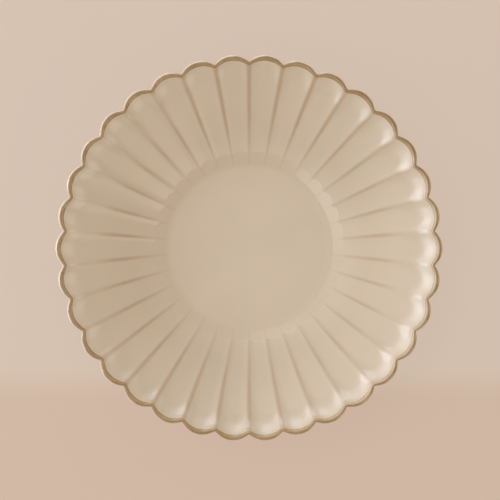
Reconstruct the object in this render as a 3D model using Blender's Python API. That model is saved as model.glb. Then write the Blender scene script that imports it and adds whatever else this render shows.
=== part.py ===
"""Deep plate with a petal rim: a pressed stoneware body and the glaze fields fired onto it.

The plate lies on its foot ring, with its axis on Z and the table at z = 0. Every piece is turned
from a half section and then pressed into petals, so neighbouring pieces follow one another.
"""

import math

import bmesh
import bpy
from mathutils import Vector

# Finished sizes, in metres
PLATE_DIAMETER = 0.220  # over the tips of two opposite petals
PLATE_HEIGHT = 0.040  # from the table to the top of the lip
PETAL_COUNT = 34
PETAL_DEPTH = 0.004  # from a petal's tip in to the notch beside it
FLUTE_DEPTH = 0.0008  # hollow of a petal on the wall, below the ridges beside it
WELL_RADIUS = 0.052  # where the floor would meet the ridges without the toe curve
TOE_RADIUS = 0.008  # curve from the floor into the wall
UPTURN_RADIUS = 0.020  # curve from the wall up to the lip
RIM_SLOPE = math.radians(62.0)  # of the wall where it reaches the lip
FLOOR_THICKNESS = 0.0055
WALL_THICKNESS = 0.0052
LIP_THICKNESS = 0.0034
BAND_DROP = 0.002  # rim band, down the back from the lip
FOOT_RADIUS = 0.056  # outside of the foot ring
FOOT_WIDTH = 0.0065
FOOT_HEIGHT = 0.0045  # from the table up to the glazed base inside the ring
FOOT_ROUND = 0.0012  # worn edges of the foot ring
GLAZE_THICKNESS = 0.0005
SEAT_GAP = 0.0003  # clearance between two pieces that lie against each other

# Fineness of the facets
COLUMNS_PER_PETAL = 4
TOE_STEPS = 2
UPTURN_STEPS = 4
LIP_STEPS = 2  # from its inner side to its top, and again to its outermost line

# Sizes that follow from those above
COAT = GLAZE_THICKNESS + SEAT_GAP
TIP_RADIUS = PLATE_DIAMETER / 2
NOTCH_RADIUS = TIP_RADIUS - PETAL_DEPTH
FLOOR_HEIGHT = FOOT_HEIGHT + FLOOR_THICKNESS
LIP_RADIUS = LIP_THICKNESS / 2


def material(name, colour, roughness):
    """A plain surface of one colour, given as red, green and blue."""
    surface = bpy.data.materials.new(name)
    surface.use_nodes = True
    shader = surface.node_tree.nodes["Principled BSDF"]
    shader.inputs["Base Color"].default_value = (*colour, 1.0)
    shader.inputs["Roughness"].default_value = roughness
    shader.inputs["Metallic"].default_value = 0.0
    surface.diffuse_color = (*colour, 1.0)
    surface.roughness = roughness
    return surface


def petal(angle):
    """0 in the notch between two petals and 1 at a tip: each petal of the rim is one circular arc."""
    half_pitch = math.pi / PETAL_COUNT
    turn = (angle + half_pitch) % (2 * half_pitch) - half_pitch
    spread = 2 * (TIP_RADIUS - NOTCH_RADIUS * math.cos(half_pitch))
    centre = (TIP_RADIUS ** 2 - NOTCH_RADIUS ** 2) / spread
    across = (TIP_RADIUS - centre) ** 2 - (centre * math.sin(turn)) ** 2
    reach = centre * math.cos(turn) + math.sqrt(max(across, 0.0))
    return (reach - NOTCH_RADIUS) / PETAL_DEPTH


def tangent_slope(point, centre, radius):
    """Slope of the straight line from a point that runs smoothly into the underside of a circle."""
    run = centre[0] - point[0]
    rise = centre[1] - point[1]
    return math.atan2(rise, run) - math.asin(min(radius / math.hypot(run, rise), 1.0))


def hollow_arc(centre, radius, slopes, side, start):
    """Stations on a curve that opens upwards; side is 1 on the face of the plate and -1 on its back.

    From the slope where the upturn starts, the petals swing from hollows in the wall to their full reach.
    """
    stations = []
    for slope in slopes:
        out = math.sin(slope)
        down = math.cos(slope)
        place = (centre[0] + radius * out, centre[1] - radius * down)
        turned = max((slope - start) / (RIM_SLOPE - start), 0.0)
        stations.append((*place, -side * out, side * down, turned, 1.0 - turned))
    return stations


def lip_arc(centre, radius, turns):
    """Stations round the lip, in the given directions from its centre."""
    stations = []
    for turn in turns:
        out = math.cos(turn)
        up = math.sin(turn)
        stations.append((centre[0] + radius * out, centre[1] + radius * up, out, up, 1.0, 0.0))
    return stations


def steps_between(first, last, steps):
    return [first + (last - first) * step / steps for step in range(steps + 1)]


def sunk(stations, depth):
    """The same stations, moved in from the finished surface, as radius, height and petal shares."""
    return [(r - depth * nr, z - depth * nz, reach, dip) for r, z, nr, nz, reach, dip in stations]


def coat(stations):
    """Closed section of a glaze field: its finished side, and its underside back again."""
    return sunk(stations, 0.0) + sunk(stations, GLAZE_THICKNESS)[::-1]


def split_alike(turned, press):
    """Cut each quad from its most pressed, then highest corner, so that stacked pieces fold alike."""
    for face in list(turned.faces):
        if len(face.verts) == 4:
            corners = list(face.verts)
            first = max(range(4), key=lambda place: (round(press[corners[place]], 7), corners[place].co.z))
            bmesh.utils.face_split(face, corners[first], corners[first - 2])


def fluted_solid(name, section, surface, parent):
    """Turn a half section about Z, then press each station out and down by its shares of the petals."""
    mesh = bpy.data.meshes.new(name)
    turned = bmesh.new()
    petal_reach = turned.verts.layers.float.new("petal_reach")
    petal_dip = turned.verts.layers.float.new("petal_dip")
    corners = []
    for radius, height, reach, dip in section:
        corner = turned.verts.new((radius, 0.0, height))
        corner[petal_reach] = reach
        corner[petal_dip] = dip
        corners.append(corner)
    pairs = list(zip(corners, corners[1:]))
    if section[0][0] > 0.0:
        pairs.append((corners[-1], corners[0]))
    outline = [turned.edges.new(pair) for pair in pairs]
    bmesh.ops.spin(
        turned,
        geom=corners + outline,
        axis=(0.0, 0.0, 1.0),
        cent=(0.0, 0.0, 0.0),
        angle=2 * math.pi,
        steps=PETAL_COUNT * COLUMNS_PER_PETAL,
        use_merge=True,
    )
    bmesh.ops.remove_doubles(turned, verts=turned.verts, dist=1e-6)
    press = {}
    for corner in turned.verts:
        angle = math.atan2(corner.co.y, corner.co.x)
        press[corner] = PETAL_DEPTH * corner[petal_reach] * petal(angle)
        corner.co += Vector((math.cos(angle), math.sin(angle), 0.0)) * press[corner]
        corner.co.z -= FLUTE_DEPTH * corner[petal_dip] * petal(angle)
    split_alike(turned, press)
    turned.verts.layers.float.remove(petal_reach)
    turned.verts.layers.float.remove(petal_dip)
    bmesh.ops.recalc_face_normals(turned, faces=turned.faces)
    turned.to_mesh(mesh)
    turned.free()
    mesh.materials.append(surface)
    mesh.shade_smooth()
    mesh.set_sharp_from_angle(angle=math.radians(38.0))
    piece = bpy.data.objects.new(name, mesh)
    bpy.context.scene.collection.objects.link(piece)
    piece.parent = parent
    return piece


for leftover in list(bpy.data.objects):
    bpy.data.objects.remove(leftover, do_unlink=True)

bare_clay = material("bare_clay", (0.42, 0.29, 0.18), 0.85)
cream_glaze = material("cream_glaze", (0.63, 0.50, 0.37), 0.25)
brown_glaze = material("brown_glaze", (0.33, 0.20, 0.11), 0.30)

plate = bpy.data.objects.new("deep_plate", None)
bpy.context.scene.collection.objects.link(plate)

# The lip is half round; its section stands on the end of the wall, in line with it
inward = (-math.sin(RIM_SLOPE), math.cos(RIM_SLOPE))
lip_centre = (NOTCH_RADIUS - LIP_RADIUS, PLATE_HEIGHT - LIP_RADIUS)
lip_inside = RIM_SLOPE + math.pi / 2
lip_outside = RIM_SLOPE - math.pi / 2

# Face of the plate: flat floor, toe curve, straight wall, upturn
upturn_reach = LIP_RADIUS + UPTURN_RADIUS
upturn_centre = (lip_centre[0] + upturn_reach * inward[0], lip_centre[1] + upturn_reach * inward[1])
wall_slope = tangent_slope((WELL_RADIUS, FLOOR_HEIGHT), upturn_centre, UPTURN_RADIUS)
toe_start = WELL_RADIUS - TOE_RADIUS * math.tan(wall_slope / 2)
toe_slopes = steps_between(0.0, wall_slope, TOE_STEPS)
toe_curve = hollow_arc((toe_start, FLOOR_HEIGHT + TOE_RADIUS), TOE_RADIUS, toe_slopes, 1, wall_slope)
toe = []
for r, z, nr, nz, reach, dip in toe_curve:
    # A petal's hollow never reaches below the floor
    toe.append((r, z, nr, nz, reach, min(dip, (z - FLOOR_HEIGHT) / FLUTE_DEPTH)))
face_end = RIM_SLOPE - SEAT_GAP / UPTURN_RADIUS
upturn_slopes = steps_between(wall_slope, face_end, UPTURN_STEPS)
upturn = hollow_arc(upturn_centre, UPTURN_RADIUS, upturn_slopes, 1, wall_slope)
floor_middle = (0.0, FLOOR_HEIGHT, 0.0, 1.0, 0.0, 0.0)
face = [floor_middle] + toe + upturn

# Back of the plate: its curve is flatter than the upturn, so the wall thickens from the lip down
swell = (WALL_THICKNESS - LIP_THICKNESS) / (1 - math.cos(RIM_SLOPE - wall_slope))
back_radius = UPTURN_RADIUS + LIP_THICKNESS + swell
back_reach = back_radius - LIP_RADIUS
back_centre = (lip_centre[0] + back_reach * inward[0], lip_centre[1] + back_reach * inward[1])
channel_rise = (FOOT_RADIUS - WELL_RADIUS) * math.tan(wall_slope) - FLUTE_DEPTH
channel_height = FLOOR_HEIGHT + max(channel_rise, 0.0)
shoulder = (FOOT_RADIUS, channel_height - WALL_THICKNESS / math.cos(wall_slope))
back_slope = tangent_slope(shoulder, back_centre, back_radius)
band_end = RIM_SLOPE - BAND_DROP / back_radius
back_start = band_end - SEAT_GAP / back_radius
back_slopes = steps_between(back_start, back_slope, UPTURN_STEPS)
back = hollow_arc(back_centre, back_radius, back_slopes, -1, back_slope)
back.append((*shoulder, math.sin(back_slope), -math.cos(back_slope), 0.0, 0.0))

# Rim band: over the lip and a little way down the back
lip_turns = steps_between(lip_inside, math.pi / 2, LIP_STEPS)
lip_turns += steps_between(math.pi / 2, 0.0, LIP_STEPS)[1:]
lip = lip_arc(lip_centre, LIP_RADIUS, lip_turns + [lip_outside])
band = lip + hollow_arc(back_centre, back_radius, [band_end], -1, back_slope)

# Foot ring: bare clay, round at its edges, with the glazed base inside it
foot_inside = FOOT_RADIUS - FOOT_WIDTH
base_height = FOOT_HEIGHT + COAT
foot_outside = sunk(back, COAT)[-1][0]
foot = [
    (foot_outside, FOOT_ROUND, 0.0, 0.0),
    (foot_outside - FOOT_ROUND, 0.0, 0.0, 0.0),
    (foot_inside + FOOT_ROUND, 0.0, 0.0, 0.0),
    (foot_inside, FOOT_ROUND, 0.0, 0.0),
    (foot_inside, base_height - FOOT_ROUND, 0.0, 0.0),
    (foot_inside - FOOT_ROUND, base_height, 0.0, 0.0),
    (0.0, base_height, 0.0, 0.0),
]
base_radius = foot_inside - FOOT_ROUND - SEAT_GAP
base_top = FOOT_HEIGHT + GLAZE_THICKNESS
base = [
    (0.0, FOOT_HEIGHT, 0.0, 0.0),
    (base_radius, FOOT_HEIGHT, 0.0, 0.0),
    (base_radius, base_top, 0.0, 0.0),
    (0.0, base_top, 0.0, 0.0),
]

body = sunk(face + lip + back, COAT) + foot
fluted_solid("stoneware_body", body, bare_clay, plate)
fluted_solid("face_glaze", coat(face), cream_glaze, plate)
fluted_solid("rim_band", coat(band), brown_glaze, plate)
fluted_solid("back_glaze", coat(back), cream_glaze, plate)
fluted_solid("base_glaze", base, cream_glaze, plate)
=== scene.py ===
import math

import bpy
from bpy.props import FloatProperty, FloatVectorProperty, IntProperty, PointerProperty
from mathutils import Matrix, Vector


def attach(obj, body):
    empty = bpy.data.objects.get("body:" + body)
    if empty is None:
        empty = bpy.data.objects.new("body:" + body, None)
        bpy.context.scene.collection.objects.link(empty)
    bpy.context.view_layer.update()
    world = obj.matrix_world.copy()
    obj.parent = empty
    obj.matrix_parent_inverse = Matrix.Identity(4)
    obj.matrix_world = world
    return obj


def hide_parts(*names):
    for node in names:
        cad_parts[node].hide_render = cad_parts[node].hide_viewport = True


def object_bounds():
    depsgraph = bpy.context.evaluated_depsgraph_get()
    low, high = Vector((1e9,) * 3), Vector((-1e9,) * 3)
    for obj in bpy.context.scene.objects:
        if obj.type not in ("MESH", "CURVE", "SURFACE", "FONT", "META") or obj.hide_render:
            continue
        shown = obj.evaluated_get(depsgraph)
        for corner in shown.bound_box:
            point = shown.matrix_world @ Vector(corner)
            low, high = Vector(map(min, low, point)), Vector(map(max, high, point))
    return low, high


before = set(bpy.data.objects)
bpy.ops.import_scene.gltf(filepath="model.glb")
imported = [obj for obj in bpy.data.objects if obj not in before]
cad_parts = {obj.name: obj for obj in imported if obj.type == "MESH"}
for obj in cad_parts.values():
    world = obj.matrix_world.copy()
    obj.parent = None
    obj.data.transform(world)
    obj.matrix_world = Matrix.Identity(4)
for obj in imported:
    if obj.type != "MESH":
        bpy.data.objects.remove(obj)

bl_info = {
    "name": "Petal Rim Deep Plate",
    "version": (1, 0, 0),
    "blender": (4, 5, 0),
    "location": "3D View > Sidebar > Plate",
    "description": "Glazed stoneware deep plate with a petal rim, on a plain studio floor",
    "category": "Add Mesh",
}

SOLIDS_BOX = [[float(value) for value in corner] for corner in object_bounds()]
PLATE_WIDTH = SOLIDS_BOX[1][0] - SOLIDS_BOX[0][0]
PLATE_TOP = SOLIDS_BOX[1][2]

# Half section of the plate
NO_STOP = -1.0  # a height below everything, for rings whose petals may sink freely
LIP_SHOULDER = math.radians(38.0)  # from the top of the lip to its flattened shoulders
LIP_CUT = 0.062  # share of the lip's radius that its outer shoulder loses
INNER_CUT = 0.3  # share of that cut that its inner shoulder loses
SHOULDER_POWER = 12  # the higher, the narrower a shoulder
CREST_FADE = 1.4  # how soon the ridges' soft rounding ends on the way over the lip
LOW_REACH = 1.35  # end of the fine rings low on the wall, as a multiple of the collar's start
COLLAR_TURN = 0.2  # share of the collar's start over which the well's slope becomes the wall's
RIDGE_BEND = 0.9  # share of a ridge's upper run at which it begins to steepen quickly
UNCUT_EASE = 0.0001  # depth over which a petal's cut fades into the collar

# Steps in each stretch of the half section, at its finest, and round its small edges
SECTION_STEPS = {"low": 46, "wall": 8, "upper": 40, "lip": 18, "band": 5, "curve": 24, "run": 20}
FOOT_EDGE_STEPS = 8
BASE_EDGE_STEPS = 6

# Rings in the flat well and under the base, by their share of its radius
WELL_RINGS = (0.0, 0.35, 0.7, 0.92)
BASE_RINGS = (0.95, 0.8, 0.4, 0.0)

# How the petals press a ring, and how far round the lip it lies
PRESS_MARKS = ("petal_out", "petal_down", "petal_stop", "ridge_round", "petal_square")
RING_MARKS = (*PRESS_MARKS, "lip_turn")

# Node editor: space between nodes along and down, and nodes in a slanting row
NODE_SPACE = (200.0, -160.0)
NODE_ROW = 5

# Glaze
SHEEN_LEAN = math.radians(12.0)  # turn of the two sides where painted sheen fades the ridges' brown, from the X axis, clockwise

# Floor, and the even light from all round
FLOOR_GAP = 0.0002  # under the foot ring, so that ring and floor never share a plane
FLOOR_RADIUS = 3.0
FLOOR_SIDES = 64
FLOOR_FRONT = (-0.092, -0.070)  # along Y, from the tone in front to the tone behind
FLOOR_GLOW = 0.84  # share of the floor that is seen at its own tone, whatever the light
SHADE_REACH = 0.03  # of the soft shade on the floor round the foot
AIR_TINT = (1.00, 0.95, 0.85, 1.0)
AIR_STRENGTH = 0.46

# Camera, in pixels of the picture
PICTURE_SIDE = 500.0
PLATE_PIXELS = 388.0  # diameter of the plate
VIEW_SHIFT = (1.0, -1.55)  # of the camera, along X and Y
VIEW_LEAN = math.radians(1.8)  # of the camera from the plate's axis

# Soft panels round the plate, by kind: size in metres, elevation in degrees, colour,
# and the strength of each by its azimuth in degrees, clockwise from +Y
PANEL_DISTANCE = 1.2  # from the middle of the table under the plate
SOFT_PANELS = {
    "window": (
        (0.53, 0.58),
        14.0,
        (0.77, 0.87, 1.00),
        {225: 0.05, 250: 0.26, 275: 0.45, 300: 0.25, 325: 0.14, 350: 0.29, 15: 0.08},
    ),
    "card": ((0.60, 0.62), 13.0, (0.97, 1.00, 0.92), {60: 0.05, 90: 0.16, 135: 0.17, 170: 0.06}),
    "front": ((0.60, 0.40), 45.0, (1.00, 0.94, 0.85), {135: 0.07, 180: 0.02}),
    "ceiling": ((0.50, 0.30), 62.0, (1.00, 0.98, 0.97), {240: 0.08, 290: 0.05, 340: 0.08}),
    "overhead": ((0.60, 0.60), 88.0, (1.00, 0.90, 0.95), {0: 0.04}),
}


def length(name, default, description):
    """A size of the plate, in metres."""
    return FloatProperty(
        name=name, description=description, default=default, min=0.0, unit="LENGTH", precision=5
    )


def colour(name, default, description):
    """A colour of the plate or its studio, as linear red, green and blue."""
    limits = {"size": 3, "min": 0.0, "max": 1.0, "subtype": "COLOR"}
    return FloatVectorProperty(name=name, description=description, default=default, **limits)


class PlateSizes(bpy.types.PropertyGroup):
    """Sizes of the finished plate."""

    diameter: length("Diameter", PLATE_WIDTH, "Over the tips of two opposite petals")
    height: length("Height", PLATE_TOP, "From the table to the top of the lip")
    petals: IntProperty(name="Petals", description="Petals round the rim", default=34, min=3)
    petal_depth: length("Petal Depth", 0.004, "From a petal's tip in to the notch beside it")
    flute_depth: length("Flute Depth", 0.0008, "Hollow of a petal below the ridges beside it")
    well_radius: length("Well Radius", 0.0490, "Where the floor would meet the ridges")
    collar_start: length("Collar Start", 0.0440, "Where the floor of the well begins to rise")
    collar_radius: length("Collar Radius", 0.022, "Curve from the well's floor into the collar")
    collar_slope: FloatProperty(
        name="Collar Slope",
        description="Slope of the collar that the petals are cut into",
        default=math.radians(14.0),
        subtype="ANGLE",
    )
    ridge_start: length("Ridge Start", 0.079, "Where the ridges begin to rise above the wall")
    upturn_radius: length("Upturn Radius", 0.020, "Curve from the wall up to the lip")
    rim_slope: FloatProperty(
        name="Rim Slope",
        description="Slope of the wall where it reaches the lip",
        default=math.radians(62.0),
        subtype="ANGLE",
    )
    floor_thickness: length("Floor Thickness", 0.0055, "Floor, with its glaze")
    wall_thickness: length("Wall Thickness", 0.0052, "Wall, with its glaze")
    lip_thickness: length("Lip Thickness", 0.0034, "Half round lip")
    band_drop: length("Band Drop", 0.002, "Brown band, down the back from the lip")
    shoulder_height: length("Shoulder Height", 0.0054, "Table to where the back meets the foot")
    foot_radius: length("Foot Radius", 0.056, "Outside of the foot ring")
    foot_width: length("Foot Width", 0.0065, "Across the foot ring")
    foot_height: length("Foot Height", 0.0045, "From the table up to the base inside the ring")
    foot_round: length("Foot Round", 0.0012, "Worn edges of the foot ring")
    glaze: length("Glaze", 0.0005, "Thickness of the fired glaze")
    seat: length("Seat", 0.0003, "Clearance between the clay and its glaze")
    ridge_round: length("Ridge Round", 0.0009, "Rounding of the ridges inside the plate")
    crest_round: length("Crest Round", 0.0014, "Rounding of the ridges where they meet the lip")
    notch_round: length("Notch Round", 0.0002, "Rounding of the notches outside the lip")
    groove_round: length("Groove Round", 0.0006, "Rounding of the grooves on the back")
    crease: length("Crease", 0.00008, "Rounding where the petals are cut into the collar")
    wall_squareness: FloatProperty(
        name="Wall Squareness",
        description="How flat a petal's hollow is on the wall, as a power",
        default=3.5,
        min=1.5,
    )
    tip_squareness: FloatProperty(
        name="Tip Squareness",
        description="How flat a petal's tip is at the lip, as a power",
        default=2.15,
        min=1.5,
    )


class PlateFinish(bpy.types.PropertyGroup):
    """Colours of the plate and of the studio around it."""

    cream: colour("Cream", (0.546, 0.433, 0.318), "Glaze at its usual thickness")
    # Collar: glaze thinner round the well, and painted shade at the well's edge.
    collar: colour("Collar", (0.584, 0.464, 0.342), "Glaze where it thins round the well")
    pooled: colour("Pooled", (0.612, 0.491, 0.366), "Glaze where it lies thick")
    ridge: colour("Ridge", (0.430, 0.298, 0.186), "Glaze where it breaks thin over a ridge")
    lip: colour("Lip", (0.226, 0.127, 0.044), "Glaze band over the lip")
    # Paler brown of the lip: its thin patches, and also its painted highlight and shade.
    lip_thin_and_painted_light: colour("Lip Thin", (0.420, 0.272, 0.132), "Lip band where it lies thin")
    clay: colour("Clay", (0.455, 0.330, 0.215), "Bare clay of the foot ring")
    # Clay grain: also the colour of the painted shade on the floor round the foot.
    clay_grain_and_floor_shade: colour("Clay Grain", (0.300, 0.205, 0.125), "Iron grains in the bare clay")
    paper: colour("Paper", (0.664, 0.535, 0.440), "Floor under the plate")
    paper_front: colour("Paper Front", (0.620, 0.465, 0.358), "Floor in front of the plate")


def steps_between(first, last, steps):
    return [first + (last - first) * step / steps for step in range(steps + 1)]


def between(first, last, share):
    return first + (last - first) * share


def along(place, direction, distance):
    """The place at a distance from another in a direction."""
    return tuple(a + distance * b for a, b in zip(place, direction))


def tangent_slope(point, centre, radius):
    """Slope of the straight line from a point that runs smoothly into the underside of a circle."""
    run = centre[0] - point[0]
    rise = centre[1] - point[1]
    return math.atan2(rise, run) - math.asin(min(radius / math.hypot(run, rise), 1.0))


def downward(slope):
    """Direction square to a slope, on its underside."""
    return (math.sin(slope), -math.cos(slope))


def shoulder_cut(turn):
    """Share of its radius that the half round lip loses on its two flattened shoulders."""
    from_top = turn - math.pi / 2
    outer = max(math.cos(from_top + LIP_SHOULDER), 0.0) ** SHOULDER_POWER
    inner = max(math.cos(from_top - LIP_SHOULDER), 0.0) ** SHOULDER_POWER
    return LIP_CUT * (outer + INNER_CUT * inner)


class Station:
    """A point of the half section, on a ridge: its place, its normal and how petals press it."""

    def __init__(
        self, place, normal, out=0.0, down=0.0, stop=NO_STOP, soft=0.001, square=2.0, turn=0.0
    ):
        self.place = place
        self.normal = normal
        self.out = out
        self.down = down
        self.stop = stop
        self.soft = soft
        self.square = square
        self.turn = turn

    def towards(self, other, share):
        mixed = [
            tuple(between(a, b, share) for a, b in zip(self.place, other.place)),
            tuple(between(a, b, share) for a, b in zip(self.normal, other.normal)),
        ]
        for name in ("out", "down", "stop", "soft", "square", "turn"):
            mixed.append(between(getattr(self, name), getattr(other, name), share))
        return Station(*mixed)

    def sunk(self, depth):
        place = along(self.place, self.normal, -depth)
        stop = self.stop - depth * self.normal[1]
        press = (self.out, self.down, stop, self.soft, self.square, self.turn)
        return Station(place, self.normal, *press)


def run_between(first, last, steps):
    """Stations on the straight way from one station to another, without its two ends."""
    return [first.towards(last, step / steps) for step in range(1, steps)]


def sunk(stations, depth):
    """The same stations, moved in from the finished surface."""
    return [station.sunk(depth) for station in stations]


class Section:
    """Half section of the finished plate, from the middle of the well over the lip to the foot."""

    def __init__(self, sizes, fine=1.0):
        def count(stretch):
            return max(2, round(SECTION_STEPS[stretch] * fine))

        self.sizes = sizes
        slope = sizes.rim_slope
        inward = (-math.sin(slope), math.cos(slope))
        lip_radius = sizes.lip_thickness / 2
        self.floor = sizes.foot_height + sizes.floor_thickness
        notch = sizes.diameter / 2 - sizes.petal_depth
        lip_centre = (notch - lip_radius, sizes.height - lip_radius)

        # Face: flat well, collar, straight wall, and an upturn that begins earlier on the ridges
        upturn_centre = along(lip_centre, inward, lip_radius + sizes.upturn_radius)
        toe = (sizes.well_radius, self.floor)
        self.wall_slope = tangent_slope(toe, upturn_centre, sizes.upturn_radius)
        well = []
        for share in WELL_RINGS:
            place = (sizes.collar_start * share, self.floor)
            well.append(self.wall_station(place, (0.0, 1.0), 0.0))
        low_end = LOW_REACH * sizes.collar_start
        low = []
        for radius in steps_between(sizes.collar_start, low_end, count("low")):
            low.append(self.low_station(radius))
        upper = self.upper_stations(upturn_centre, count("upper"))
        wall = run_between(low[-1], upper[0], count("wall"))
        self.face = well + low + wall + upper

        # Lip: half round, in line with the end of the wall
        self.lip = []
        for share in steps_between(0.0, 1.0, count("lip")):
            turn = slope + math.pi / 2 - math.pi * share
            normal = (math.cos(turn), math.sin(turn))
            place = along(lip_centre, normal, lip_radius * (1.0 - shoulder_cut(turn)))
            soft = between(sizes.crest_round, sizes.notch_round, min(1.0, CREST_FADE * share))
            press = (sizes.petal_depth, 0.0, NO_STOP, soft, sizes.tip_squareness, share)
            self.lip.append(Station(place, normal, *press))

        # Back: a flatter curve, so that the wall thickens from the lip down, and a straight run
        thicker = sizes.wall_thickness - sizes.lip_thickness
        swell = thicker / (1 - math.cos(slope - self.wall_slope))
        back_radius = sizes.upturn_radius + sizes.lip_thickness + swell
        back_centre = along(lip_centre, inward, back_radius - lip_radius)
        self.shoulder = (sizes.foot_radius, sizes.shoulder_height)
        back_slope = tangent_slope(self.shoulder, back_centre, back_radius)
        band_end = slope - sizes.band_drop / back_radius

        def back_run(first, last, steps):
            stations = []
            for angle in steps_between(first, last, steps):
                turned = (angle - back_slope) / (slope - back_slope)
                normal = downward(angle)
                place = along(back_centre, normal, back_radius)
                out = sizes.petal_depth * turned
                down = sizes.flute_depth * (1.0 - turned)
                soft = between(sizes.groove_round, sizes.notch_round, turned)
                square = between(sizes.wall_squareness, sizes.tip_squareness, turned)
                stations.append(Station(place, normal, out, down, NO_STOP, soft, square, 1.0))
            return stations

        self.band = back_run(slope, band_end, count("band"))[1:]
        curve = back_run(band_end, back_slope, count("curve"))
        press = (0.0, 0.0, NO_STOP, sizes.groove_round, sizes.wall_squareness)
        end = Station(self.shoulder, downward(back_slope), *press)
        self.back = curve + run_between(curve[-1], end, count("run")) + [end]

    def collar(self, radius):
        """Height of the collar: a curve out of the floor, then a rise flatter than the wall's."""
        sizes = self.sizes
        run = max(radius - sizes.collar_start, 0.0)
        bend = min(run, sizes.collar_radius * math.sin(sizes.collar_slope))
        rise = sizes.collar_radius - math.sqrt(sizes.collar_radius ** 2 - bend ** 2)
        return self.floor + rise + (run - bend) * math.tan(sizes.collar_slope)

    def wall_height(self, radius):
        return self.floor + (radius - self.sizes.well_radius) * math.tan(self.wall_slope)

    def wall_station(self, place, normal, down):
        """A station of the well, the collar or the wall, where the petals are only pressed down."""
        sizes = self.sizes
        stop = self.collar(place[0])
        return Station(place, normal, 0.0, down, stop, sizes.ridge_round, sizes.wall_squareness)

    def low_station(self, radius):
        """A station low on the wall: on the collar, or on a ridge that has risen out of it."""
        collar = self.collar(radius)
        wall = self.wall_height(radius)
        spread = math.hypot(wall - collar, self.sizes.crease)
        height = 0.5 * (wall + collar + spread)
        start = self.sizes.collar_start
        slope = self.wall_slope * min(1.0, (radius - start) / (COLLAR_TURN * start))
        normal = (-math.sin(slope), math.cos(slope))
        return self.wall_station((radius, height), normal, self.sizes.flute_depth)

    def upper_stations(self, centre, steps):
        """Stations from the wall to the lip: a curve on the ridges, an upturn in the petals."""
        sizes = self.sizes
        first = (sizes.ridge_start, self.wall_height(sizes.ridge_start))
        bottom = along(centre, downward(self.wall_slope), sizes.upturn_radius)
        straight = math.dist(first, bottom)
        whole = straight + sizes.upturn_radius * (sizes.rim_slope - self.wall_slope)
        last = along(centre, downward(sizes.rim_slope), sizes.upturn_radius)
        ridge = ridge_curve(first, last, math.tan(self.wall_slope), math.tan(sizes.rim_slope))
        stations = []
        for share in steps_between(0.0, 1.0, steps):
            run = share * whole
            angle = self.wall_slope + max(run - straight, 0.0) / sizes.upturn_radius
            turned = (angle - self.wall_slope) / (sizes.rim_slope - self.wall_slope)
            if run < straight:
                base = tuple(between(a, b, run / straight) for a, b in zip(first, bottom))
            else:
                base = along(centre, downward(angle), sizes.upturn_radius)
            crest = ridge(share)
            out = base[0] + sizes.petal_depth * turned - crest[0]
            down = crest[1] - base[1] + sizes.flute_depth * (1.0 - turned)
            soft = between(sizes.ridge_round, sizes.crest_round, share)
            square = between(sizes.wall_squareness, sizes.tip_squareness, turned)
            normal = (-math.sin(angle), math.cos(angle))
            stations.append(Station(crest, normal, out, down, NO_STOP, soft, square))
        return stations

    def foot(self):
        """Bare foot ring, from the shoulder round to the middle of the base."""
        sizes = self.sizes
        coat = sizes.glaze + sizes.seat
        outer = self.back[-1].sunk(coat).place[0]
        inner = sizes.foot_radius - sizes.foot_width
        top = sizes.foot_height + coat
        soft = sizes.foot_round
        corners = [
            (outer - soft, soft, 0.0, -math.pi / 2),
            (inner + soft, soft, -math.pi / 2, -math.pi),
            (inner - soft, top - soft, 0.0, math.pi / 2),
        ]
        places = []
        for across, height, first, last in corners:
            for turn in steps_between(first, last, FOOT_EDGE_STEPS):
                places.append(along((across, height), (math.cos(turn), math.sin(turn)), soft))
        places.append((0.0, top))
        return plain_stations(places)


def ridge_curve(first, last, slope, end_slope):
    """A curve between two points that steepens evenly, and quickly after its bend."""
    run = last[0] - first[0]
    bend = RIDGE_BEND
    rise = (last[1] - first[1]) / run
    knee = 2.0 * (rise - 0.5 * bend * slope - 0.5 * (1.0 - bend) * end_slope)

    def place(share):
        if share < bend:
            steep = between(slope, knee, share / bend)
            height = 0.5 * (slope + steep) * share
        else:
            steep = between(knee, end_slope, (share - bend) / (1.0 - bend))
            height = 0.5 * (slope + knee) * bend + 0.5 * (knee + steep) * (share - bend)
        return (first[0] + run * share, first[1] + run * height)

    return place


def plain_stations(places):
    """Stations that no petal presses."""
    return [Station(place, (0.0, 0.0)) for place in places]


def coated(finished, under, depth):
    """Closed section of a glaze field: its finished side, and a plainer underside back again."""
    return finished + sunk(under, depth)[::-1]


def turned_mesh(name, section, columns):
    """Turn a half section about Z and keep on its points how the petals press each station."""
    points = []
    rings = []
    marks = {mark: [] for mark in RING_MARKS}
    for station in section:
        radius, height = station.place
        ring = []
        for column in range(columns if radius > 0.0 else 1):
            angle = 2 * math.pi * column / columns
            ring.append(len(points))
            points.append((radius * math.cos(angle), radius * math.sin(angle), height))
        press = (station.out, station.down, station.stop, station.soft, station.square)
        for mark, value in zip(RING_MARKS, (*press, station.turn)):
            marks[mark] += [value] * len(ring)
        rings.append(ring)
    pairs = list(zip(rings, rings[1:]))
    if section[0].place[0] > 0.0:
        pairs.append((rings[-1], rings[0]))
    faces = []
    for first, second in pairs:
        for column in range(columns):
            after = (column + 1) % columns
            if len(first) == 1:
                faces.append((first[0], second[column], second[after]))
            elif len(second) == 1:
                faces.append((first[column], second[0], first[after]))
            else:
                faces.append((first[column], second[column], second[after], first[after]))
    mesh = bpy.data.meshes.new(name)
    mesh.from_pydata(points, [], faces)
    for mark, values in marks.items():
        mesh.attributes.new(mark, "FLOAT", "POINT").data.foreach_set("value", values)
    mesh.update()
    return mesh


def number_sockets(group, names, in_out):
    """Add plain number sockets to a node group, as its "INPUT" or "OUTPUT"."""
    for name in names:
        group.interface.new_socket(name=name, in_out=in_out, socket_type="NodeSocketFloat")


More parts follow.
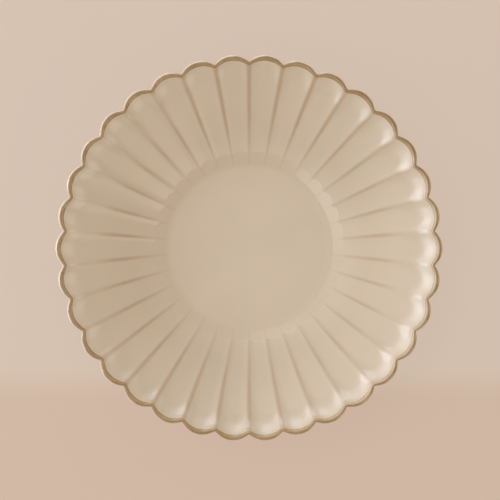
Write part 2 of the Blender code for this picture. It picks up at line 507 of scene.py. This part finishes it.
class Graph:
    """Short words for building a node tree: maths, links and plain nodes."""

    def __init__(self, tree):
        self.tree = tree
        self.column = 0

    def node(self, kind, **settings):
        node = self.tree.nodes.new(kind)
        row = self.column % NODE_ROW
        node.location = (NODE_SPACE[0] * self.column, NODE_SPACE[1] * row)
        self.column += 1
        for name, value in settings.items():
            setattr(node, name, value)
        return node

    def after(self, geometry, kind, **settings):
        """A geometry node that goes on from the geometry so far."""
        node = self.node(kind, **settings)
        self.put(node.inputs["Geometry"], geometry)
        return node

    def put(self, socket, value):
        if isinstance(value, bpy.types.NodeSocket):
            self.tree.links.new(value, socket)
        else:
            socket.default_value = value

    def math(self, operation, *values, clamp=False):
        node = self.node("ShaderNodeMath", operation=operation, use_clamp=clamp)
        for socket, value in zip(node.inputs, values):
            self.put(socket, value)
        return node.outputs[0]

    def ramp(self, value, low, high, first=0.0, last=1.0, smooth=True):
        """A value carried from the range low to high into the range first to last."""
        node = self.node("ShaderNodeMapRange", clamp=True)
        node.interpolation_type = "SMOOTHSTEP" if smooth else "LINEAR"
        names = ("Value", "From Min", "From Max", "To Min", "To Max")
        for name, entry in zip(names, (value, low, high, first, last)):
            self.put(node.inputs[name], entry)
        return node.outputs["Result"]

    def mix(self, share, first, second):
        """A colour between two others, each of them a socket or plain red, green and blue."""
        node = self.node("ShaderNodeMix", data_type="RGBA")
        self.put(node.inputs["Factor"], share)
        for name, entry in (("A", first), ("B", second)):
            linked = isinstance(entry, bpy.types.NodeSocket)
            self.put(node.inputs[name], entry if linked else (*entry, 1.0))
        return node.outputs["Result"]

    def either_side(self, value, width):
        """A value from 0 to 1 spread to both sides of nought."""
        return self.math("MULTIPLY", self.math("SUBTRACT", value, 0.5), width)

    def from_ridge(self, angle, outward, petals):
        """Distance from the nearest ridge, and the width of a petal there."""
        turn = self.math("MULTIPLY", angle, self.math("DIVIDE", petals, 2 * math.pi))
        part = self.math("FRACT", self.math("ADD", turn, 0.5))
        off_centre = self.math("ABSOLUTE", self.math("SUBTRACT", part, 0.5))
        share = self.math("SUBTRACT", 0.5, off_centre)
        width = self.math("MULTIPLY", outward, self.math("DIVIDE", 2 * math.pi, petals))
        return self.math("MULTIPLY", share, width), width


def petal_press_tree():
    """Geometry nodes that press a turned piece into petals: out at the lip, down on the wall."""
    tree = bpy.data.node_groups.get("petal_press")
    if tree:
        return tree
    tree = bpy.data.node_groups.new("petal_press", "GeometryNodeTree")
    for in_out in ("OUTPUT", "INPUT"):
        tree.interface.new_socket(name="Geometry", in_out=in_out, socket_type="NodeSocketGeometry")
    number_sockets(tree, ("Petals", "Crease"), "INPUT")
    tree.interface.new_socket(name="Material", in_out="INPUT", socket_type="NodeSocketMaterial")
    graph = Graph(tree)
    given = graph.node("NodeGroupInput").outputs
    marks = {}
    for mark in PRESS_MARKS:
        node = graph.node("GeometryNodeInputNamedAttribute", data_type="FLOAT")
        node.inputs["Name"].default_value = mark
        marks[mark] = node.outputs["Attribute"]
    place = graph.node("ShaderNodeSeparateXYZ")
    graph.put(place.inputs[0], graph.node("GeometryNodeInputPosition").outputs[0])
    level = graph.node("ShaderNodeCombineXYZ")
    graph.put(level.inputs["X"], place.outputs["X"])
    graph.put(level.inputs["Y"], place.outputs["Y"])
    distance = graph.node("ShaderNodeVectorMath", operation="LENGTH")
    graph.put(distance.inputs[0], level.outputs[0])
    angle = graph.math("ARCTAN2", place.outputs["Y"], place.outputs["X"])
    away, width = graph.from_ridge(angle, distance.outputs["Value"], given["Petals"])
    rounded = graph.math("POWER", marks["ridge_round"], 2.0)
    squares = graph.math("ADD", graph.math("POWER", away, 2.0), rounded)
    eased = graph.math("MINIMUM", graph.math("DIVIDE", graph.math("SQRT", squares), width), 0.5)
    off_middle = graph.math("SUBTRACT", 1.0, graph.math("MULTIPLY", eased, 2.0))
    hollow = graph.math("SUBTRACT", 1.0, graph.math("POWER", off_middle, marks["petal_square"]))
    press = graph.math("MULTIPLY", hollow, marks["petal_out"])
    fall = graph.math("MULTIPLY", hollow, marks["petal_down"])
    sunk_to = graph.math("SUBTRACT", place.outputs["Z"], fall)
    height = graph.math("SMOOTH_MAX", sunk_to, marks["petal_stop"], given["Crease"])
    depth = graph.math("SUBTRACT", marks["petal_stop"], sunk_to)
    uncut = graph.ramp(depth, -UNCUT_EASE, 0.0, smooth=False)
    drop = graph.math("SUBTRACT", height, place.outputs["Z"])
    outward = graph.node("ShaderNodeVectorMath", operation="NORMALIZE")
    graph.put(outward.inputs[0], level.outputs[0])
    reach = graph.node("ShaderNodeVectorMath", operation="SCALE")
    graph.put(reach.inputs[0], outward.outputs[0])
    graph.put(reach.inputs["Scale"], press)
    down = graph.node("ShaderNodeCombineXYZ")
    graph.put(down.inputs["Z"], drop)
    offset = graph.node("ShaderNodeVectorMath", operation="ADD")
    graph.put(offset.inputs[0], reach.outputs[0])
    graph.put(offset.inputs[1], down.outputs[0])
    kind = "GeometryNodeStoreNamedAttribute"
    marked = graph.after(given["Geometry"], kind, data_type="FLOAT", domain="POINT")
    graph.put(marked.inputs["Name"], "uncut")
    graph.put(marked.inputs["Value"], uncut)
    pressed = graph.after(marked.outputs[0], "GeometryNodeSetPosition")
    graph.put(pressed.inputs["Offset"], offset.outputs[0])
    smooth = graph.after(pressed.outputs[0], "GeometryNodeSetShadeSmooth")
    real = graph.after(smooth.outputs[0], "GeometryNodeRealizeInstances")
    dressed = graph.after(real.outputs[0], "GeometryNodeSetMaterial")
    graph.put(dressed.inputs["Material"], given["Material"])
    graph.put(graph.node("NodeGroupOutput").inputs["Geometry"], dressed.outputs[0])
    return tree


def pressed_piece(name, section, material, per_petal):
    """Turn a section with so many columns per petal, press its petals and leave a plain mesh."""
    sizes = bpy.context.scene.plate_sizes
    piece = bpy.data.objects.new(name, turned_mesh(name, section, sizes.petals * per_petal))
    bpy.context.scene.collection.objects.link(piece)
    modifier = piece.modifiers.new("petal_press", "NODES")
    modifier.node_group = petal_press_tree()
    values = {"Petals": float(sizes.petals), "Crease": sizes.crease, "Material": material}
    for item in modifier.node_group.interface.items_tree:
        if item.in_out == "INPUT" and item.name in values:
            modifier[item.identifier] = values[item.name]
    depsgraph = bpy.context.evaluated_depsgraph_get()
    pressed = bpy.data.meshes.new_from_object(piece.evaluated_get(depsgraph))
    turned = piece.data
    piece.modifiers.clear()
    piece.data = pressed
    bpy.data.meshes.remove(turned)
    pressed.name = name
    return piece


def dress(piece, node):
    """Hang a finished piece on the frame in place of its plain solid."""
    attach(piece, "root")
    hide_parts(node)


def petal_place_group():
    """Shader group: where a point lies among the petals, from its own coordinates."""
    group = bpy.data.node_groups.get("petal_place")
    if group:
        return group
    group = bpy.data.node_groups.new("petal_place", "ShaderNodeTree")
    names = ("From Ridge", "From Middle", "Across", "Along", "Beside", "Height")
    number_sockets(group, names, "OUTPUT")
    number_sockets(group, ("Petals",), "INPUT")
    graph = Graph(group)
    given = graph.node("NodeGroupInput").outputs
    place = graph.node("ShaderNodeSeparateXYZ")
    graph.put(place.inputs[0], graph.node("ShaderNodeTexCoord").outputs["Object"])
    squares = graph.math(
        "ADD",
        graph.math("POWER", place.outputs["X"], 2.0),
        graph.math("POWER", place.outputs["Y"], 2.0),
    )
    distance = graph.math("SQRT", squares)
    angle = graph.math("ARCTAN2", place.outputs["Y"], place.outputs["X"])
    away, _ = graph.from_ridge(angle, distance, given["Petals"])
    ends = graph.node("NodeGroupOutput").inputs
    graph.put(ends["From Ridge"], away)
    graph.put(ends["From Middle"], distance)
    across = graph.math("COSINE", graph.math("ADD", angle, SHEEN_LEAN))
    graph.put(ends["Across"], graph.math("POWER", across, 2.0))
    graph.put(ends["Along"], graph.math("DIVIDE", place.outputs["Y"], distance))
    graph.put(ends["Beside"], graph.math("DIVIDE", place.outputs["X"], distance))
    graph.put(ends["Height"], place.outputs["Z"])
    return group


def kiln_clouds_group():
    """Shader group: soft clouds, mottle and fine ripple that firing leaves in a glaze."""
    group = bpy.data.node_groups.get("kiln_clouds")
    if group:
        return group
    group = bpy.data.node_groups.new("kiln_clouds", "ShaderNodeTree")
    number_sockets(group, ("Clouds", "Mottle", "Ripple"), "OUTPUT")
    number_sockets(group, ("Clouds Scale", "Mottle Scale", "Ripple Scale"), "INPUT")
    graph = Graph(group)
    given = graph.node("NodeGroupInput").outputs
    place = graph.node("ShaderNodeTexCoord").outputs["Object"]
    ends = graph.node("NodeGroupOutput").inputs
    for name, detail in (("Clouds", 3.0), ("Mottle", 4.0), ("Ripple", 1.5)):
        noise = graph.node("ShaderNodeTexNoise")
        graph.put(noise.inputs["Vector"], place)
        graph.put(noise.inputs["Scale"], given[name + " Scale"])
        noise.inputs["Detail"].default_value = detail
        graph.put(ends[name], noise.outputs[0])
    return group


def new_surface(name, ior=1.5):
    """A material with nothing in it but its shader; returns the material, its graph and shader."""
    material = bpy.data.materials.new(name)
    material.use_nodes = True
    shader = material.node_tree.nodes["Principled BSDF"]
    shader.inputs["IOR"].default_value = ior
    return material, Graph(material.node_tree), shader


def petal_place(graph):
    node = graph.node("ShaderNodeGroup", node_tree=petal_place_group())
    node.inputs["Petals"].default_value = float(bpy.context.scene.plate_sizes.petals)
    return node.outputs


def kiln_clouds(graph, clouds=28.0, mottle=420.0, ripple=150.0):
    node = graph.node("ShaderNodeGroup", node_tree=kiln_clouds_group())
    node.inputs["Clouds Scale"].default_value = clouds
    node.inputs["Mottle Scale"].default_value = mottle
    node.inputs["Ripple Scale"].default_value = ripple
    return node.outputs


def leaning(graph, place, share=1.0):
    """Which way a point lies from the middle: highest towards -X and, by a share, towards +Y."""
    return graph.math("SUBTRACT", graph.math("MULTIPLY", place["Along"], share), place["Beside"])


def clouded_cream(graph, fired):
    """Cream glaze in soft clouds of its usual and its thick colour."""
    finish = bpy.context.scene.plate_finish
    return graph.mix(graph.ramp(fired["Clouds"], 0.35, 0.65), finish.cream, finish.pooled)


def rippled(graph, shader, height, strength, distance=0.0001):
    """Let a height raise the surface a little, as bump."""
    bump = graph.node("ShaderNodeBump")
    bump.inputs["Strength"].default_value = strength
    bump.inputs["Distance"].default_value = distance
    graph.put(bump.inputs["Height"], height)
    graph.put(shader.inputs["Normal"], bump.outputs["Normal"])


def face_glaze_material():
    """Cream glaze breaking brown over the ridges; painted highlight makes it less at both sides and
    lower right.
    """
    sizes = bpy.context.scene.plate_sizes
    finish = bpy.context.scene.plate_finish
    section = Section(sizes)
    low = section.floor
    high = section.face[-1].place[1]
    material, graph, shader = new_surface("cream_face_glaze")
    place = petal_place(graph)
    fired = kiln_clouds(graph)
    drained = graph.ramp(place["Height"], low, between(low, high, 0.32), 0.9, 0.12)
    cloudy = graph.ramp(fired["Clouds"], 0.3, 0.7, -0.15, 0.15)
    cream = graph.mix(graph.math("ADD", drained, cloudy), finish.cream, finish.pooled)
    uncut = graph.node("ShaderNodeAttribute", attribute_name="uncut").outputs["Fac"]
    # Thinner glaze and painted shade: a darker ring where the well's floor turns up into the
    # collar.
    ring = graph.ramp(place["From Middle"], 1.01 * sizes.collar_start, 1.13 * sizes.collar_start)
    cream = graph.mix(graph.math("MULTIPLY", uncut, ring), cream, finish.collar)
    wander = graph.either_side(fired["Mottle"], 0.0006)
    away = graph.math("ADD", place["From Ridge"], wander)
    away = graph.math("DIVIDE", away, place["From Middle"])
    line = graph.ramp(away, 0.0005, 0.0235, 1.0, 0.0)
    half_way = between(low, high, 0.45)
    start = graph.ramp(place["Height"], low + 0.0002, half_way, 0.1, 1.0, smooth=False)
    rise = graph.ramp(place["Height"], low + 0.0001, low + 0.0008)
    patchy = graph.ramp(fired["Clouds"], 0.3, 0.7, 0.85, 1.0)
    # Painted highlight and shade: high on the wall the brown lines fade at the two sides, where the
    # ridges would shine, and stay full at top and bottom, where their flanks would be shaded.
    sheen_start = between(low, high, 0.30)
    sheen_end = between(low, high, 0.68)
    sheen_height = graph.ramp(place["Height"], sheen_start, sheen_end, 0.0, 0.95)
    covered = graph.math("SUBTRACT", 1.0, graph.math("MULTIPLY", sheen_height, place["Across"]))
    side = leaning(graph, place)
    # Painted shade and highlight: the lines are darker towards the top and left and lighter towards
    # the bottom and right.
    painted_light_side = graph.ramp(side, -1.4, 1.4, 0.74, 1.26, smooth=False)
    # The glaze breaks thin over the ridges; its brown is weighed by the painted light above.
    thin = line
    for share in (start, rise, patchy, covered, painted_light_side):
        thin = graph.math("MULTIPLY", thin, share)
    broken = graph.mix(thin, cream, finish.ridge)
    edge = graph.math("ADD", place["Height"], graph.math("MULTIPLY", wander, 0.6))
    bleed = graph.ramp(edge, high - 0.0003, high)
    # Painted highlight: the lip's brown bleeds less onto the face towards the lower right.
    bleed = graph.math("MULTIPLY", bleed, graph.ramp(side, -1.0, 0.3, 0.4, 1.0))
    graph.put(shader.inputs["Base Color"], graph.mix(bleed, broken, finish.lip))
    satin_start = between(low, high, 0.1)
    satin_end = between(low, high, 0.6)
    satin = graph.ramp(place["Height"], satin_start, satin_end, 0.14, 0.24)
    crisp = graph.ramp(graph.math("MULTIPLY", line, rise), 0.3, 1.0, 1.0, 0.55)
    well_edge = sizes.collar_start
    scoured = graph.ramp(place["From Middle"], 0.5 * well_edge, well_edge, 0.12, 0.0)
    rough = graph.math("ADD", graph.math("MULTIPLY", satin, crisp), scoured)
    graph.put(shader.inputs["Roughness"], rough)
    rippled(graph, shader, fired["Ripple"], 0.12)
    return material


def lip_glaze_material():
    """Brown glaze inside and atop the lip, thin in patches, cream outside, with painted highlight
    and shade by side.
    """
    finish = bpy.context.scene.plate_finish
    material, graph, shader = new_surface("brown_lip_glaze", ior=1.6)
    fired = kiln_clouds(graph, clouds=90.0, mottle=700.0)
    share = graph.ramp(fired["Clouds"], 0.3, 0.75)
    fleck = graph.ramp(fired["Mottle"], 0.35, 0.7, 0.0, 0.5)
    thin = graph.math("MULTIPLY", graph.math("ADD", share, fleck), 0.35)
    turn = graph.node("ShaderNodeAttribute", attribute_name="lip_turn").outputs["Fac"]
    place = petal_place(graph)
    side = leaning(graph, place)
    inner_end = graph.ramp(turn, 0.24, 0.36, 1.0, 0.0)
    inner = graph.math("MULTIPLY", graph.ramp(turn, 0.0, 0.08), inner_end)
    # The lip is paler on its inner side all round, and as painted highlight more so towards the
    # lower right.
    sheen_lower_right = graph.ramp(side, -1.3, 0.2, 0.25, 0.0)
    inner_and_sheen = graph.math("ADD", graph.math("MULTIPLY", inner, 0.3), sheen_lower_right)
    thin_and_sheen = graph.math("ADD", thin, inner_and_sheen, clamp=True)
    brown = graph.mix(thin_and_sheen, finish.lip, finish.lip_thin_and_painted_light)
    # Painted highlight: the lip's inner band turns cream towards the lower right.
    sheen_inner_side = graph.ramp(leaning(graph, place, share=0.4), -1.0, -0.45, 0.35, 0.0)
    brown = graph.mix(graph.math("MULTIPLY", inner, sheen_inner_side), brown, finish.pooled)
    edge = graph.math("ADD", turn, graph.either_side(fired["Clouds"], 0.10))
    # Painted highlight: the cream of the outside reaches a little further over the lip towards the
    # upper left.
    reached = graph.math("ADD", edge, graph.math("MULTIPLY", side, 0.05))
    outside = graph.ramp(reached, 0.55, 0.65)
    # Painted shade: towards the upper left the cream outside is browned, to dim its highlight.
    browning = graph.ramp(side, 0.8, 1.4, 0.0, 0.35)
    outside_cream_and_shade = graph.mix(browning, finish.pooled, finish.lip_thin_and_painted_light)
    graph.put(shader.inputs["Base Color"], graph.mix(outside, brown, outside_cream_and_shade))
    graph.put(shader.inputs["Roughness"], graph.ramp(thin, 0.0, 1.0, 0.08, 0.14, smooth=False))
    rippled(graph, shader, fired["Ripple"], 0.2)
    return material


def back_glaze_material():
    """Cream glaze of the back: pooled in the grooves and stained brown above the foot ring."""
    sizes = bpy.context.scene.plate_sizes
    finish = bpy.context.scene.plate_finish
    section = Section(sizes)
    material, graph, shader = new_surface("cream_back_glaze")
    place = petal_place(graph)
    fired = kiln_clouds(graph)
    pool = graph.ramp(place["From Ridge"], 0.0004, 0.003, 0.6, 0.0)
    pooled = graph.mix(pool, clouded_cream(graph, fired), finish.pooled)
    level = graph.math("ADD", place["Height"], graph.either_side(fired["Mottle"], 0.0016))
    bottom = section.shoulder[1]
    low = graph.ramp(level, bottom + 0.0002, bottom + 0.0016, 0.85, 0.0)
    graph.put(shader.inputs["Base Color"], graph.mix(low, pooled, finish.ridge))
    graph.put(shader.inputs["Roughness"], graph.ramp(fired["Clouds"], 0.3, 0.7, 0.18, 0.26))
    rippled(graph, shader, fired["Ripple"], 0.25)
    return material


def base_glaze_material():
    """Cream glaze of the base, thin and stained where it stops short of the foot ring."""
    sizes = bpy.context.scene.plate_sizes
    finish = bpy.context.scene.plate_finish
    material, graph, shader = new_surface("cream_base_glaze")
    place = petal_place(graph)
    fired = kiln_clouds(graph)
    cream = clouded_cream(graph, fired)
    out = graph.math("ADD", place["From Middle"], graph.either_side(fired["Mottle"], 0.003))
    rim = sizes.foot_radius - sizes.foot_width - sizes.foot_round
    browning = graph.ramp(out, rim - 0.0055, rim - 0.0035, 0.0, 0.85)
    graph.put(shader.inputs["Base Color"], graph.mix(browning, cream, finish.ridge))
    graph.put(shader.inputs["Roughness"], graph.ramp(fired["Clouds"], 0.3, 0.7, 0.2, 0.3))
    rippled(graph, shader, fired["Ripple"], 0.25)
    return material


def bare_clay_material():
    """Unglazed stoneware: sandy, with fine iron grains."""
    finish = bpy.context.scene.plate_finish
    material, graph, shader = new_surface("bare_clay")
    fired = kiln_clouds(graph, clouds=60.0, mottle=1800.0, ripple=900.0)
    dark = graph.ramp(fired["Clouds"], 0.3, 0.7, 0.0, 0.35)
    cloudy = graph.mix(dark, finish.clay, finish.clay_grain_and_floor_shade)
    grain = graph.ramp(fired["Mottle"], 0.58, 0.72, 0.0, 0.7)
    graph.put(shader.inputs["Base Color"], graph.mix(grain, cloudy, finish.clay_grain_and_floor_shade))
    graph.put(shader.inputs["Roughness"], graph.ramp(fired["Mottle"], 0.3, 0.7, 0.72, 0.92))
    rippled(graph, shader, fired["Mottle"], 0.5, distance=0.0003)
    return material


class PLATE_OT_clay_body(bpy.types.Operator):
    """Make the clay body, bare on its foot ring"""

    bl_idname = "plate.clay_body"
    bl_label = "Clay Body"

    def execute(self, context):
        sizes = context.scene.plate_sizes
        section = Section(sizes, fine=0.4)
        coat = sizes.glaze + sizes.seat
        covered = section.face + section.lip[1:] + section.band + section.back[1:]
        outline = sunk(covered, coat) + section.foot()
        piece = pressed_piece("clay_body", outline, bare_clay_material(), per_petal=12)
        dress(piece, "stoneware_body")
        return {"FINISHED"}


class PLATE_OT_glazed_face(bpy.types.Operator):
    """Make the cream glaze over the well and the inner side of the petals"""

    bl_idname = "plate.glazed_face"
    bl_label = "Glazed Face"

    def execute(self, context):
        sizes = context.scene.plate_sizes
        outline = coated(Section(sizes).face, Section(sizes, fine=0.3).face, sizes.glaze)
        piece = pressed_piece("glazed_face", outline, face_glaze_material(), per_petal=20)
        dress(piece, "face_glaze")
        return {"FINISHED"}


class PLATE_OT_brown_lip(bpy.types.Operator):
    """Make the brown glaze band over the lip"""

    bl_idname = "plate.brown_lip"
    bl_label = "Brown Lip"

    def execute(self, context):
        sizes = context.scene.plate_sizes
        fine = Section(sizes)
        plain = Section(sizes, fine=0.5)
        outline = coated(fine.lip + fine.band, plain.lip + plain.band, sizes.glaze)
        piece = pressed_piece("brown_lip", outline, lip_glaze_material(), per_petal=24)
        dress(piece, "rim_band")
        return {"FINISHED"}


class PLATE_OT_glazed_back(bpy.types.Operator):
    """Make the cream glaze of the back, from the lip band to the foot ring"""

    bl_idname = "plate.glazed_back"
    bl_label = "Glazed Back"

    def execute(self, context):
        sizes = context.scene.plate_sizes
        outline = coated(Section(sizes).back, Section(sizes, fine=0.3).back, sizes.glaze)
        piece = pressed_piece("glazed_back", outline, back_glaze_material(), per_petal=24)
        dress(piece, "back_glaze")
        return {"FINISHED"}


class PLATE_OT_glazed_base(bpy.types.Operator):
    """Make the cream glaze of the base inside the foot ring"""

    bl_idname = "plate.glazed_base"
    bl_label = "Glazed Base"

    def execute(self, context):
        sizes = context.scene.plate_sizes
        low = sizes.foot_height
        high = low + sizes.glaze
        rim = sizes.foot_radius - sizes.foot_width - sizes.foot_round - sizes.seat
        soft = sizes.glaze / 2
        edge = (rim - soft, low + soft)
        places = [(0.0, high)]
        for turn in steps_between(math.pi / 2, -math.pi / 2, BASE_EDGE_STEPS):
            places.append(along(edge, (math.cos(turn), math.sin(turn)), soft))
        places += [(rim * share, low) for share in BASE_RINGS]
        outline = plain_stations(places)
        piece = pressed_piece("glazed_base", outline, base_glaze_material(), per_petal=8)
        dress(piece, "base_glaze")
        return {"FINISHED"}


class PLATE_OT_stage(bpy.types.Operator):
    """Make the floor, the soft lights and the camera"""

    bl_idname = "plate.stage"
    bl_label = "Studio"

    def execute(self, context):
        scene = context.scene
        self.floor(scene)
        self.air(scene)
        for kind, (size, elevation, tint, strengths) in SOFT_PANELS.items():
            for azimuth, strength in strengths.items():
                self.lamp(f"{kind}_{azimuth}", azimuth, elevation, size, tint, strength)
        scene.view_settings.view_transform = "Standard"
        self.camera(scene)
        return {"FINISHED"}

    def floor(self, scene):
        """A wide disc of pale paper, a little warmer in front of the plate, with painted shade
        round the foot.
        """
        finish = scene.plate_finish
        mesh = bpy.data.meshes.new("paper_floor")
        corners = []
        for column in range(FLOOR_SIDES):
            angle = 2 * math.pi * column / FLOOR_SIDES
            across = (FLOOR_RADIUS * math.cos(angle), FLOOR_RADIUS * math.sin(angle))
            corners.append((*across, -FLOOR_GAP))
        mesh.from_pydata(corners, [], [tuple(range(FLOOR_SIDES))])
        floor = bpy.data.objects.new("paper_floor", mesh)
        scene.collection.objects.link(floor)
        material, graph, shader = new_surface("pale_paper")
        shader.inputs["Roughness"].default_value = 0.9
        shader.inputs["Specular IOR Level"].default_value = 0.1
        fired = kiln_clouds(graph, mottle=900.0)
        place = graph.node("ShaderNodeSeparateXYZ")
        graph.put(place.inputs[0], graph.node("ShaderNodeTexCoord").outputs["Object"])
        front = graph.ramp(place.outputs["Y"], *FLOOR_FRONT, 0.8, 0.0)
        sheet = graph.mix(front, finish.paper, finish.paper_front)
        fleck = graph.ramp(fired["Mottle"], 0.3, 0.7, 0.0, 0.02)
        tone = graph.mix(fleck, sheet, finish.clay)
        graph.put(shader.inputs["Base Color"], tone)
        # Painted shade: the floor darkens towards the clay's grain colour near the plate.
        near = graph.node("ShaderNodeAmbientOcclusion", samples=16)
        near.inputs["Distance"].default_value = SHADE_REACH
        shaded = graph.mix(near.outputs["AO"], finish.clay_grain_and_floor_shade, tone)
        self.lift_shade(material, graph, shader, shaded)
        mesh.materials.append(material)

    def air(self, scene):
        """Even light from all round."""
        world = bpy.data.worlds.new("studio_air")
        world.use_nodes = True
        sky = world.node_tree.nodes["Background"]
        sky.inputs["Color"].default_value = AIR_TINT
        sky.inputs["Strength"].default_value = AIR_STRENGTH
        scene.world = world

    def camera(self, scene):
        """A long lens over the plate, so that the plate fills the picture as in the photograph."""
        sizes = scene.plate_sizes
        camera = bpy.data.cameras.new("plate_camera")
        camera.lens = 135.0
        camera.sensor_width = 36.0
        camera.clip_end = 20.0
        eye = bpy.data.objects.new("plate_camera", camera)
        pixel = sizes.diameter / PLATE_PIXELS
        distance = camera.lens / camera.sensor_width * pixel * PICTURE_SIDE
        back = distance * math.sin(VIEW_LEAN)
        up = sizes.height + distance * math.cos(VIEW_LEAN)
        eye.location = (VIEW_SHIFT[0] * pixel, back + VIEW_SHIFT[1] * pixel, up)
        eye.rotation_euler = (-VIEW_LEAN, 0.0, 0.0)
        scene.collection.objects.link(eye)
        scene.camera = eye

    def lift_shade(self, material, graph, shader, tone):
        """Keep the floor pale to the eye and in gloss, with part of the plate's shade on it."""
        light = graph.node("ShaderNodeLightPath").outputs
        seen = graph.math("MAXIMUM", light["Is Camera Ray"], light["Is Glossy Ray"])
        glow = graph.node("ShaderNodeEmission")
        graph.put(glow.inputs["Color"], tone)
        both = graph.node("ShaderNodeMixShader")
        graph.put(both.inputs[0], graph.math("MULTIPLY", seen, FLOOR_GLOW))
        graph.put(both.inputs[1], shader.outputs["BSDF"])
        graph.put(both.inputs[2], glow.outputs["Emission"])
        end = material.node_tree.nodes["Material Output"]
        graph.put(end.inputs["Surface"], both.outputs["Shader"])

    def lamp(self, name, azimuth, elevation, size, tint, strength):
        """A soft panel round the plate; strength is the light that it throws on the plate."""
        light = bpy.data.lights.new(name, "AREA")
        light.shape = "RECTANGLE"
        light.size, light.size_y = size
        light.energy = strength * (math.pi * PANEL_DISTANCE) ** 2
        light.color = tint
        lamp = bpy.data.objects.new(name, light)
        turn = math.radians(azimuth)
        rise = math.radians(elevation)
        across = PANEL_DISTANCE * math.cos(rise)
        up = PANEL_DISTANCE * math.sin(rise)
        lamp.location = (across * math.sin(turn), across * math.cos(turn), up)
        lamp.rotation_euler = (math.pi / 2 - rise, 0.0, math.pi - turn)
        bpy.context.scene.collection.objects.link(lamp)


class PLATE_PT_pieces(bpy.types.Panel):
    """List the pieces of the plate and the sizes and colours they follow"""

    bl_idname = "PLATE_PT_pieces"
    bl_label = "Deep Plate"
    bl_space_type = "VIEW_3D"
    bl_region_type = "UI"
    bl_category = "Plate"

    def draw(self, context):
        for operator in OPERATORS:
            self.layout.operator(operator.bl_idname)
        for group in (context.scene.plate_sizes, context.scene.plate_finish):
            box = self.layout.box()
            for name in group.__annotations__:
                box.prop(group, name)


OPERATORS = (
    PLATE_OT_clay_body,
    PLATE_OT_glazed_face,
    PLATE_OT_brown_lip,
    PLATE_OT_glazed_back,
    PLATE_OT_glazed_base,
    PLATE_OT_stage,
)
CLASSES = (PlateSizes, PlateFinish, *OPERATORS, PLATE_PT_pieces)


def register():
    for entry in CLASSES:
        bpy.utils.register_class(entry)
    bpy.types.Scene.plate_sizes = PointerProperty(type=PlateSizes)
    bpy.types.Scene.plate_finish = PointerProperty(type=PlateFinish)


def unregister():
    del bpy.types.Scene.plate_finish
    del bpy.types.Scene.plate_sizes
    for entry in reversed(CLASSES):
        bpy.utils.unregister_class(entry)


def main():
    register()
    bpy.ops.plate.clay_body()
    bpy.ops.plate.glazed_face()
    bpy.ops.plate.brown_lip()
    bpy.ops.plate.glazed_back()
    bpy.ops.plate.glazed_base()
    bpy.ops.plate.stage()


if __name__ == "__main__":
    main()
